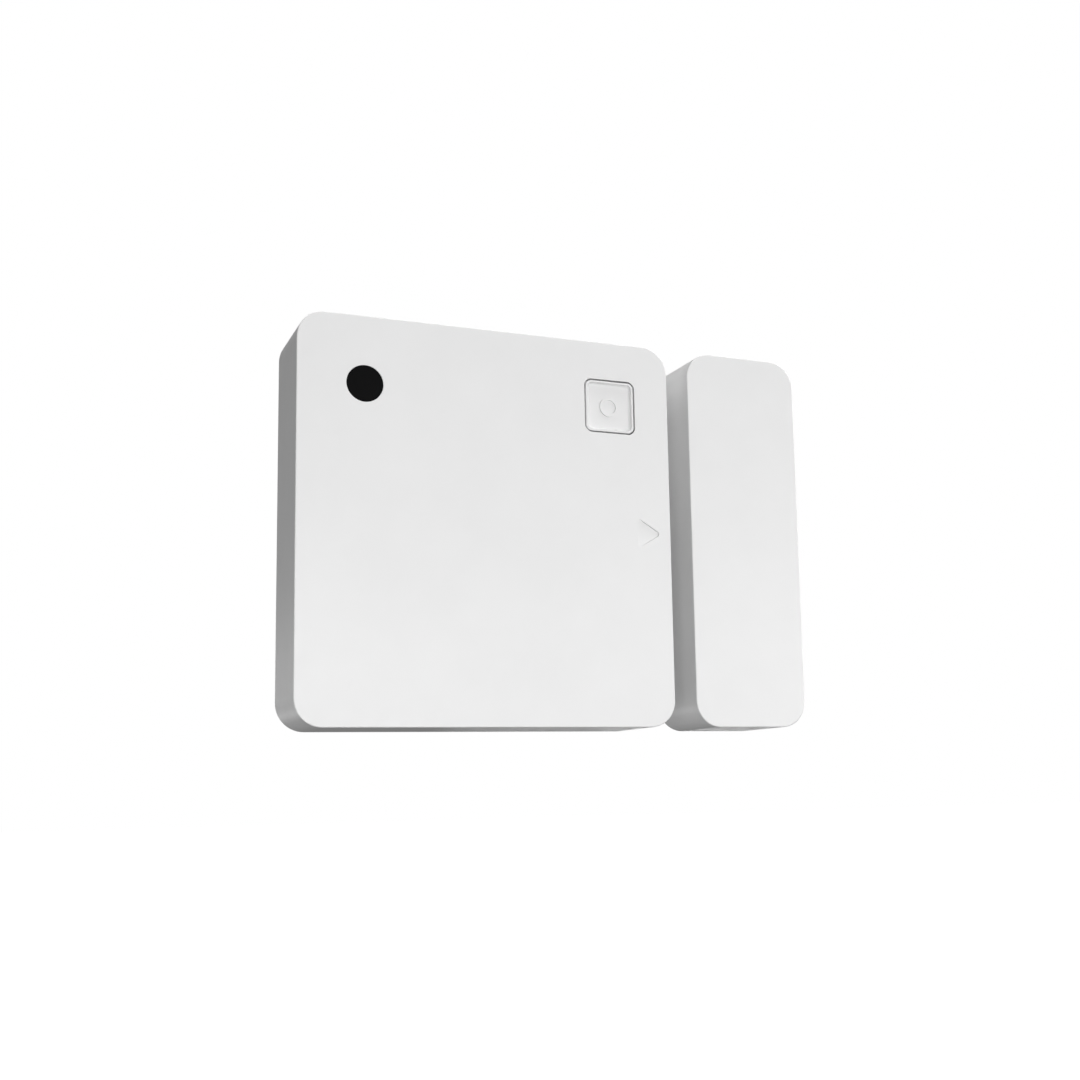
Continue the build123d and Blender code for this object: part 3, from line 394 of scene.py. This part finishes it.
def foam_pad(name, node, radius, body, chance):
    """A die-cut foam tape pad: film on both faces, and between them an open-pored edge that draws in."""
    low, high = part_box(node)
    centre = (low + high) / 2
    width, height = high.x - low.x, high.z - low.z
    side_steps = [max(2, round((side - 2 * radius) / PAD_POINT_STEP)) for side in (width, height)]

    def ring(inset, level, pore=0.0):
        corner = max(radius - inset, PAD_SMALLEST_CORNER)
        points = rounded_ring(width - 2 * inset, height - 2 * inset, corner, side_steps)
        placed = []
        for x, z in points:
            draw = chance.random() ** 2 * pore
            length = math.hypot(x, z)
            inwards = 1 - draw / length
            placed.append((centre.x + x * inwards, level, centre.z + z * inwards))
        return placed

    rings = []
    shares = [step / PAD_FACE_RINGS for step in range(1, PAD_FACE_RINGS + 1)]
    insets = [PAD_INNERMOST * width * share ** 1.5 for share in shares]
    for inset in reversed(insets):
        rings.append(ring(PAD_FILM_INSET + PAD_FILM_ROUND + inset, low.y))
    rings.append(ring(PAD_FILM_INSET + PAD_FILM_ROUND, low.y))
    rings.append(ring(PAD_FILM_INSET, low.y + PAD_FILM_ROUND))
    rings.append(ring(PAD_FILM_INSET, low.y + PAD_FILM))
    for step in range(PAD_EDGE_LEVELS):
        share = (step + 0.5) / PAD_EDGE_LEVELS
        level = low.y + PAD_FILM + share * (high.y - low.y - 2 * PAD_FILM)
        drawn_in = PAD_FILM_INSET + PAD_FILM_ROUND + PAD_WAIST * math.sin(math.pi * share)
        rings.append(ring(drawn_in, level, PAD_PORE))
    rings.append(ring(PAD_FILM_INSET, high.y - PAD_FILM))
    rings.append(ring(PAD_FILM_INSET, high.y - PAD_FILM_ROUND))
    rings.append(ring(PAD_FILM_INSET + PAD_FILM_ROUND, high.y))
    for inset in insets:
        rings.append(ring(PAD_FILM_INSET + PAD_FILM_ROUND + inset, high.y))
    solid = Solids()
    solid.rings(rings)
    pad = add_piece(name, solid.vertices, solid.faces, body, "foam_pad")
    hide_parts(node)


foam_pad("sensor_foam_pad", "sensor_adhesive_pad", 2.0 * MM, "mounting_base", random.Random(RANDOM_SEED))
foam_pad("magnet_foam_pad", "magnet_adhesive_pad", 1.5 * MM, "magnet_unit", random.Random(RANDOM_SEED + 1))


# ---------------------------------------------------------------- circuit board: copper, legend and solder
TRACK_HEIGHT = 0.030 * MM
TRACK_STAGGER, STAGGER_STEPS = 0.002 * MM, 7  # so that the tops of routes that join don't coincide
VIA_HEIGHT = 0.040 * MM
LEGEND_HEIGHT = 0.045 * MM  # printed over the tracks
SUNK = 0.01 * MM  # how far printed layers reach into the board, so that no faces coincide
VIA_DIAMETER, VIA_HOLE = 0.6 * MM, 0.3 * MM
LEAD_PAD_DIAMETER, LEAD_PAD_HOLE = 1.3 * MM, 0.82 * MM
FINE_TRACK, POWER_TRACK, LEGEND_LINE = 0.18, 0.45, 0.12  # widths in millimetres
LONGEST_MITRE = 2.0  # how far a turn's corner may reach, against the line's half width

board_low, board_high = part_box("circuit_board")
board_middle = (board_low.y + board_high.y) / 2


def board_levels(on_front, height):
    """Where a layer printed on one face of the board begins, just inside the board, and where it ends."""
    if on_front:
        return board_low.y + SUNK, board_low.y - height
    return board_high.y - SUNK, board_high.y + height


def offset_line(points, reach):
    """The two edges of a line of (x, z) points, drawn reach to each side, mitred at the turns."""
    left, right = [], []
    for step, point in enumerate(points):
        before = (point - points[step - 1]).normalized() if step else None
        after = (points[step + 1] - point).normalized() if step < len(points) - 1 else None
        along = ((before or after) + (after or before)).normalized()
        across = Vector((-along.y, along.x))
        square = Vector((-(before or after).y, (before or after).x))
        stretch = reach * min(LONGEST_MITRE, 1 / across.dot(square))
        left.append(point + across * stretch)
        right.append(point - across * stretch)
    return left, right


def add_ribbon(solid, points_mm, width_mm, levels):
    """A flat strip along a line of (x, z) points in millimetres."""
    points = [Vector(point) * MM for point in points_mm]
    left, right = offset_line(points, width_mm * MM / 2)
    low, high = levels
    rings = []
    for a, b in zip(left, right):
        rings.append([(a.x, low, a.y), (a.x, high, a.y), (b.x, high, b.y), (b.x, low, b.y)])
    solid.rings(rings)


def add_washer(solid, centre_mm, outer, inner, levels, steps=20):
    """A flat ring about a point, as one closed loop of its square section."""
    low, high = levels
    first = len(solid.vertices)
    for step in range(steps):
        angle = 2 * math.pi * step / steps
        for radius, level in ((inner, low), (outer, low), (outer, high), (inner, high)):
            x = centre_mm[0] * MM + radius * math.cos(angle)
            z = centre_mm[1] * MM + radius * math.sin(angle)
            solid.vertices.append((x, level, z))
    for step in range(steps):
        here, after = first + 4 * step, first + 4 * ((step + 1) % steps)
        for corner in range(4):
            turn = (corner + 1) % 4
            solid.faces.append((here + corner, here + turn, after + turn, after + corner))


def add_outline(solid, low, high, margin_mm, width_mm, levels):
    """A printed frame round a component's box, as four bars that meet at the corners."""
    x0, x1 = low.x / MM - margin_mm, high.x / MM + margin_mm
    z0, z1 = low.z / MM - margin_mm, high.z / MM + margin_mm
    half = width_mm / 2
    add_ribbon(solid, ((x0 - half, z0), (x1 + half, z0)), width_mm, levels)
    add_ribbon(solid, ((x0 - half, z1), (x1 + half, z1)), width_mm, levels)
    add_ribbon(solid, ((x0, z0 + half), (x0, z1 - half)), width_mm, levels)
    add_ribbon(solid, ((x1, z0 + half), (x1, z1 - half)), width_mm, levels)


def add_side_lines(solid, low, high, along_x, margin_mm, width_mm, levels):
    """A printed line beside each of two opposite sides of a component's box."""
    centre, half = (low + high) / (2 * MM), (high - low) / (2 * MM)
    for side in (-1, 1):
        if along_x:
            z = centre.z + side * (half.z + margin_mm)
            ends = ((centre.x - half.x, z), (centre.x + half.x, z))
        else:
            x = centre.x + side * (half.x + margin_mm)
            ends = ((x, centre.z - half.z), (x, centre.z + half.z))
        add_ribbon(solid, ends, width_mm, levels)


# The routes are in millimetres, x to the right and z up, each from one pad or via to the next.
CHIP_LEFT_SIGNALS = tuple(((-4.2, z), (-5.0, z)) for z in (5.1, 3.7, 2.3, 0.9))
FRONT_SIGNALS = CHIP_LEFT_SIGNALS + (
    ((-3.6, 0.3), (-3.6, -0.6), (-3.9, -0.9)),
    ((-2.2, 0.3), (-2.2, -0.8)),
    ((-0.8, 0.3), (-0.8, -0.8)),
    ((0.6, 0.3), (0.6, -0.5), (0.9, -0.8)),
    ((1.2, 0.9), (1.8, 0.9), (2.7, 0.0), (8.6, 0.0), (9.8, -1.2), (11.0, -1.2)),
    ((1.2, 1.6), (1.8, 1.6), (2.5, 0.9), (10.0, 0.9), (14.0, -3.1), (14.0, -6.4)),
    ((1.2, 2.3), (1.8, 2.3), (2.6, 1.5), (7.0, 1.5), (8.0, 2.5), (8.0, 3.2)),
    ((1.2, 3.7), (2.6, 3.7)),
    ((1.2, 4.4), (1.9, 4.4), (2.6, 5.1)),
    ((-3.6, 5.7), (-3.6, 7.0), (-5.9, 9.3), (-8.2, 9.3)),
    ((-2.9, 5.7), (-2.9, 8.0), (1.2, 8.0), (4.0, 10.8), (9.4, 10.8)),
    ((-2.2, 5.7), (-2.2, 7.1)),
    ((-1.5, 5.7), (-1.5, 7.0), (-0.9, 7.6), (2.0, 7.6), (2.8, 8.4), (3.7, 8.4)),
    ((-0.1, 5.7), (-0.1, 6.3), (0.6, 7.0), (3.7, 7.0)),
    ((5.2, 7.0), (7.0, 7.0)),
    ((5.2, 8.4), (6.0, 8.4), (7.0, 7.4), (7.0, 7.0)),
    ((8.0, 4.7), (8.0, 5.4), (9.6, 7.0)),
    ((9.4, 3.8), (9.4, 4.2), (9.0, 4.6), (8.4, 4.6)),
    ((9.9, 7.8), (10.5, 8.4), (13.3, 8.4), (14.0, 9.1), (14.0, 10.8)),
    ((12.6, 7.0), (13.9, 7.0)),
    ((8.6, 12.3), (8.6, 10.8)),
    ((8.6, 13.6), (8.9, 13.3), (9.4, 13.3)),
    ((-6.7, 5.1), (-8.4, 6.8), (-10.4, 6.8), (-11.5, 7.9), (-11.5, 8.2)),
    ((-12.6, 7.3), (-12.6, 8.2)),
    ((-12.6, 9.0), (-12.6, 11.4)),
    ((-11.3, 9.0), (-11.0, 9.3), (-11.0, 11.2)),
    ((-3.9, -2.6), (-3.9, -3.4), (-3.3, -4.0), (-2.3, -4.0)),
    ((-2.3, -2.6), (-2.3, -4.4), (-4.2, -6.3), (-4.2, -11.0)),
    ((-0.7, -2.6), (-0.7, -3.4), (4.3, -8.4), (8.9, -8.4)),
    ((0.9, -2.6), (0.9, -5.0)),
)
REAR_SIGNALS = (
    ((2.0, 8.8), (2.0, 7.6)),
    ((4.0, 8.8), (4.0, 7.6), (4.6, 7.0), (7.0, 7.0)),
    ((6.0, 9.4), (7.0, 9.4), (7.0, 8.4), (8.4, 7.0), (9.6, 7.0)),
    ((8.0, 8.8), (9.0, 7.8), (9.9, 7.8)),
    ((10.0, 8.8), (10.0, 8.6), (11.6, 7.0), (12.6, 7.0)),
    ((1.5, 11.4), (-4.4, 11.4), (-5.2, 10.6)),
    ((4.0, 11.9), (4.0, 12.8), (4.8, 13.6), (8.6, 13.6)),
    ((6.0, 11.9), (6.4, 12.3), (8.6, 12.3)),
    ((14.6, -7.5), (14.6, -9.4), (12.8, -11.2), (12.8, -12.0), (11.1, -12.0)),
    ((14.6, 7.5), (14.6, 8.5), (14.0, 9.1)),
    ((11.1, -10.5), (12.0, -10.5), (12.6, -9.9), (12.6, -2.8), (11.0, -1.2)),
    ((-12.6, 7.3), (-2.4, 7.3), (-2.2, 7.1)),
)
REAR_POWER = (
    ((8.9, -6.9), (8.9, -8.4), (9.4, -9.0)),
    ((9.2, -9.2), (9.2, -12.0)),
    ((8.6, -2.3), (8.6, 3.0), (9.4, 3.8)),
    ((-4.2, -10.1), (-4.2, -11.0)),
)
VIAS = (
    (2.0, 7.6), (7.0, 7.0), (9.6, 7.0), (9.9, 7.8), (12.6, 7.0), (-5.2, 10.6), (8.6, 13.6), (8.6, 12.3),
    (14.0, 9.1), (11.0, -1.2), (-12.6, 7.3), (-2.2, 7.1), (9.4, 3.8), (8.9, -8.4), (-4.2, -11.0),
)
PIN_ONE_DOT = (-4.95, 6.3)  # by the radio chip's first corner

# How far the printed frames and lines stand off what they mark, in millimetres.
OUTLINED = {"radio_chip": 0.55, "crystal_oscillator": 0.25}
SWITCH_LINE_MARGIN, COMPONENT_LINE_MARGIN = 0.4, 0.2
TERMINAL_LENGTH = 0.3  # of a small component's end cap, in millimetres
TEST_PAD_RING = (0.72 * MM, 0.62 * MM)  # outer and inner radius
PIN_ONE_RING = (0.16 * MM, 0.03 * MM)


def add_board_copper():
    """The tracks on both faces, under the green solder mask."""
    tracks = Solids()
    for routes, on_front, width in (
        (FRONT_SIGNALS, True, FINE_TRACK), (REAR_SIGNALS, False, FINE_TRACK), (REAR_POWER, False, POWER_TRACK)
    ):
        for order, route in enumerate(routes):
            height = TRACK_HEIGHT - TRACK_STAGGER * (order % STAGGER_STEPS)
            add_ribbon(tracks, route, width, board_levels(on_front, height))
    add_piece("board_tracks", tracks.vertices, tracks.faces, "sensor_case", "masked_copper")


def add_vias():
    """Tinned rings: on both faces where a track goes through the board, and behind each reed lead's hole."""
    rings = Solids()
    for centre in VIAS:
        for face in (True, False):
            add_washer(rings, centre, VIA_DIAMETER / 2, VIA_HOLE / 2, board_levels(face, VIA_HEIGHT))
    for low, high in solid_boxes("reed_solder_joints"):
        centre = (low + high) / (2 * MM)
        pad = (LEAD_PAD_DIAMETER / 2, LEAD_PAD_HOLE / 2, board_levels(False, VIA_HEIGHT))
        add_washer(rings, (centre.x, centre.z), *pad)
    add_piece("board_vias", rings.vertices, rings.faces, "sensor_case", "tinned_metal")


def add_legend():
    """The white printed outlines of the components, clear of every solder joint, with no lettering."""
    lines = Solids()
    front, rear = board_levels(True, LEGEND_HEIGHT), board_levels(False, LEGEND_HEIGHT)
    for node, margin in OUTLINED.items():
        add_outline(lines, *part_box(node), margin, LEGEND_LINE, front)
    add_side_lines(lines, *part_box("tact_switch_base"), True, SWITCH_LINE_MARGIN, LEGEND_LINE, front)
    for low, high in solid_boxes("chip_component_bodies"):
        along_x = high.x - low.x > high.z - low.z
        reach = Vector((1, 0, 0) if along_x else (0, 0, 1)) * TERMINAL_LENGTH * MM
        levels = front if high.y < board_middle else rear
        add_side_lines(
            lines, low - reach, high + reach, along_x, COMPONENT_LINE_MARGIN, LEGEND_LINE, levels
        )
    for low, high in solid_boxes("test_pads"):
        centre = (low + high) / (2 * MM)
        add_washer(lines, (centre.x, centre.z), *TEST_PAD_RING, rear, 32)
    add_washer(lines, PIN_ONE_DOT, *PIN_ONE_RING, front)
    add_piece("board_legend", lines.vertices, lines.faces, "sensor_case", "case_white")


SOLDER_REACH = 0.30 * MM
SOLDER_CLIMB = 0.62  # how far up a terminal the solder wets
SOLDER_STEPS = 6
SOLDER_OVERLAP = 0.02 * MM  # into the terminal, and above the pad
SOLDER_FOOT = 0.03 * MM  # from the fillet's reach to where its foot lies in the board
SOLDER_WIDTH = 1.06  # against the terminal's width
SOLDER_SHOULDER, SOLDER_END = 0.8, 0.55  # where the fillet starts to shrink, and its size at its ends


def add_solder_fillet(solid, low, high, outward, on_front):
    """A concave wedge of solder from a terminal's end face down to its pad, facing outward along X or Z."""
    base, _ = board_levels(on_front, 0)
    up = -1 if on_front else 1
    surface = board_low.y if on_front else board_high.y
    climb = SOLDER_CLIMB * (high.y - low.y)
    along_x = abs(outward.x) > 0.5
    across = Vector((0, 0, 1)) if along_x else Vector((1, 0, 0))
    centre = (low + high) / 2
    half_long = ((high.x - low.x) if along_x else (high.z - low.z)) / 2
    half_wide = ((high.z - low.z) if along_x else (high.x - low.x)) / 2
    rings = []
    for side, taper in ((-1, SOLDER_END), (-SOLDER_SHOULDER, 1), (SOLDER_SHOULDER, 1), (1, SOLDER_END)):
        edge = half_wide * (side * SOLDER_WIDTH)
        start = centre + outward * (half_long - SOLDER_OVERLAP) + across * edge
        ring = [(start.x, base, start.z)]
        for step in range(SOLDER_STEPS + 1):
            angle = math.pi / 2 * step / SOLDER_STEPS
            out = (1 - math.cos(angle)) * SOLDER_REACH * taper + SOLDER_OVERLAP
            rise = (1 - math.sin(angle)) * climb * taper
            point = start + outward * out
            ring.append((point.x, surface + up * (rise + SOLDER_OVERLAP), point.z))
        far = start + outward * (SOLDER_REACH * taper + SOLDER_FOOT)
        ring.append((far.x, base, far.z))
        rings.append(ring)
    solid.rings(rings)


def add_solder():
    """Fillets at the ends of the small components and at the switch's terminals."""
    fillets = Solids()
    bodies = [(low + high) / 2 for low, high in solid_boxes("chip_component_bodies")]
    switch = middle("tact_switch_base")
    for low, high in solid_boxes("chip_component_terminals"):
        centre = (low + high) / 2
        body = min(bodies, key=lambda place: (place - centre).length)
        lean = centre - body
        if abs(lean.x) > abs(lean.z):
            outward = Vector((math.copysign(1, lean.x), 0, 0))
        else:
            outward = Vector((0, 0, math.copysign(1, lean.z)))
        add_solder_fillet(fillets, low, high, outward, high.y < board_middle)
    for low, high in solid_boxes("tact_switch_terminals"):
        outward = Vector((math.copysign(1, (low.x + high.x) / 2 - switch.x), 0, 0))
        add_solder_fillet(fillets, low, high, outward, True)
    add_piece("solder_fillets", fillets.vertices, fillets.faces, "sensor_case", "solder")


add_board_copper()
add_vias()
add_legend()
add_solder()


# ---------------------------------------------------------------- camera, fitted to the view
CAMERA_PLACE = Vector((-39.672, -122.429, -22.930)) * MM
CAMERA_YAW, CAMERA_PITCH, CAMERA_ROLL = 0.37941, 0.13433, -0.01591
SENSOR_SIZE = 36.0
FOCAL_LENGTH = 44.397
SHIFT = (-0.0098, 0.0521)


def add_camera():
    ahead = Vector((
        math.sin(CAMERA_YAW) * math.cos(CAMERA_PITCH),
        math.cos(CAMERA_YAW) * math.cos(CAMERA_PITCH),
        math.sin(CAMERA_PITCH),
    ))
    level = Vector((math.cos(CAMERA_YAW), -math.sin(CAMERA_YAW), 0))
    upright = level.cross(ahead)
    right = math.cos(CAMERA_ROLL) * level + math.sin(CAMERA_ROLL) * upright
    up = -math.sin(CAMERA_ROLL) * level + math.cos(CAMERA_ROLL) * upright
    data = bpy.data.cameras.new("camera")
    data.sensor_width = SENSOR_SIZE
    data.lens = FOCAL_LENGTH
    data.shift_x, data.shift_y = SHIFT
    data.clip_start, data.clip_end = 1 * MM, 5.0
    camera = bpy.data.objects.new("camera", data)
    bpy.context.scene.collection.objects.link(camera)
    camera.matrix_world = Matrix.Translation(CAMERA_PLACE) @ Matrix((right, up, -ahead)).transposed().to_4x4()
    bpy.context.scene.camera = camera


add_camera()


# ---------------------------------------------------------------- studio
AMBIENT = 0.1
FLOOR_DROP = 0.09  # below the sensor
FLOOR_HALF_SIZE = 2.5
LIGHT_DISTANCE = 0.6
LIGHT_TARGET = Vector((5, -5, 0)) * MM

# Each soft light's bearing from the front towards +X and its elevation, in degrees, its width and height, in
# metres, and its power, in watts. The faint ones behind give the side and lower faces their graded sheen.
SOFT_LIGHTS = {
    "front": (0, 0, 0.30, 0.16, 1.0),
    "front_low": (-10, -35, 0.30, 0.16, 0.55),
    "front_left": (-35, 0, 0.30, 0.16, 0.5),
    "front_right": (25, 0, 0.30, 0.16, 0.5),
    "right": (50, 0, 0.30, 0.16, 0.8),
    "right_high": (90, 40, 0.35, 0.35, 2.1),
    "left_low": (-90, -35, 0.35, 0.35, 0.6),
    "above": (0, 85, 0.35, 0.35, 2.4),
    "behind_right": (130, 30, 0.35, 0.35, 1.4),
    "rear_right": (150, -4, 0.12, 0.08, 0.11),
    "rear_middle": (158, -4, 0.12, 0.08, 0.06),
    "rear_left": (192, 0, 0.16, 0.12, 0.04),
    "rear_left_low": (200, -14, 0.16, 0.12, 0.085),
    "rear_far_left": (208, 4, 0.16, 0.12, 0.033),
}


def soft_light(name, bearing, elevation, width, height, power):
    data = bpy.data.lights.new(name, "AREA")
    data.shape = "ELLIPSE"
    data.size, data.size_y = width, height
    data.energy = power
    light = bpy.data.objects.new(name, data)
    bpy.context.scene.collection.objects.link(light)
    turn, rise = math.radians(bearing), math.radians(elevation)
    away = Vector((math.sin(turn) * math.cos(rise), -math.cos(turn) * math.cos(rise), math.sin(rise)))
    light.location = LIGHT_TARGET + LIGHT_DISTANCE * away
    light.rotation_mode = "QUATERNION"
    light.rotation_quaternion = (-away).to_track_quat("-Z", "Y")
    light.visible_camera = False


def add_world(ambient):
    """An even white room for the camera, and a dimmer even light for the object."""
    world = bpy.data.worlds.new("studio")
    bpy.context.scene.world = world
    world.use_nodes = True
    tree = world.node_tree
    background = tree.nodes["Background"]
    background.inputs["Color"].default_value = (1, 1, 1, 1)
    path = tree.nodes.new("ShaderNodeLightPath")
    strength = tree.nodes.new("ShaderNodeMapRange")
    strength.inputs["To Min"].default_value = ambient
    strength.inputs["To Max"].default_value = 1.0
    tree.links.new(path.outputs["Is Camera Ray"], strength.inputs["Value"])
    tree.links.new(strength.outputs["Result"], background.inputs["Strength"])


def add_floor(height, half_size):
    mesh = bpy.data.meshes.new("floor")
    corners = [(-half_size, -half_size, height), (half_size, -half_size, height),
               (half_size, half_size, height), (-half_size, half_size, height)]
    mesh.from_pydata(corners, [], [(0, 1, 2, 3)])
    floor = bpy.data.objects.new("floor", mesh)
    bpy.context.scene.collection.objects.link(floor)
    material, tree, bsdf = new_material("pale_floor")
    bsdf.inputs["Base Color"].default_value = (0.9, 0.9, 0.9, 1)
    bsdf.inputs["Roughness"].default_value = 0.9
    bsdf.inputs["Emission Color"].default_value = (1, 1, 1, 1)
    bsdf.inputs["Emission Strength"].default_value = 1.1
    mesh.materials.append(material)
    floor.visible_diffuse = False
    floor.visible_glossy = False
    floor.visible_shadow = False  # the low lights shine up past it


bpy.context.scene.view_settings.view_transform = "Standard"
add_world(AMBIENT)
add_floor(cad_low.z - FLOOR_DROP, FLOOR_HALF_SIZE)
for light_name, setting in SOFT_LIGHTS.items():
    soft_light(light_name, *setting)
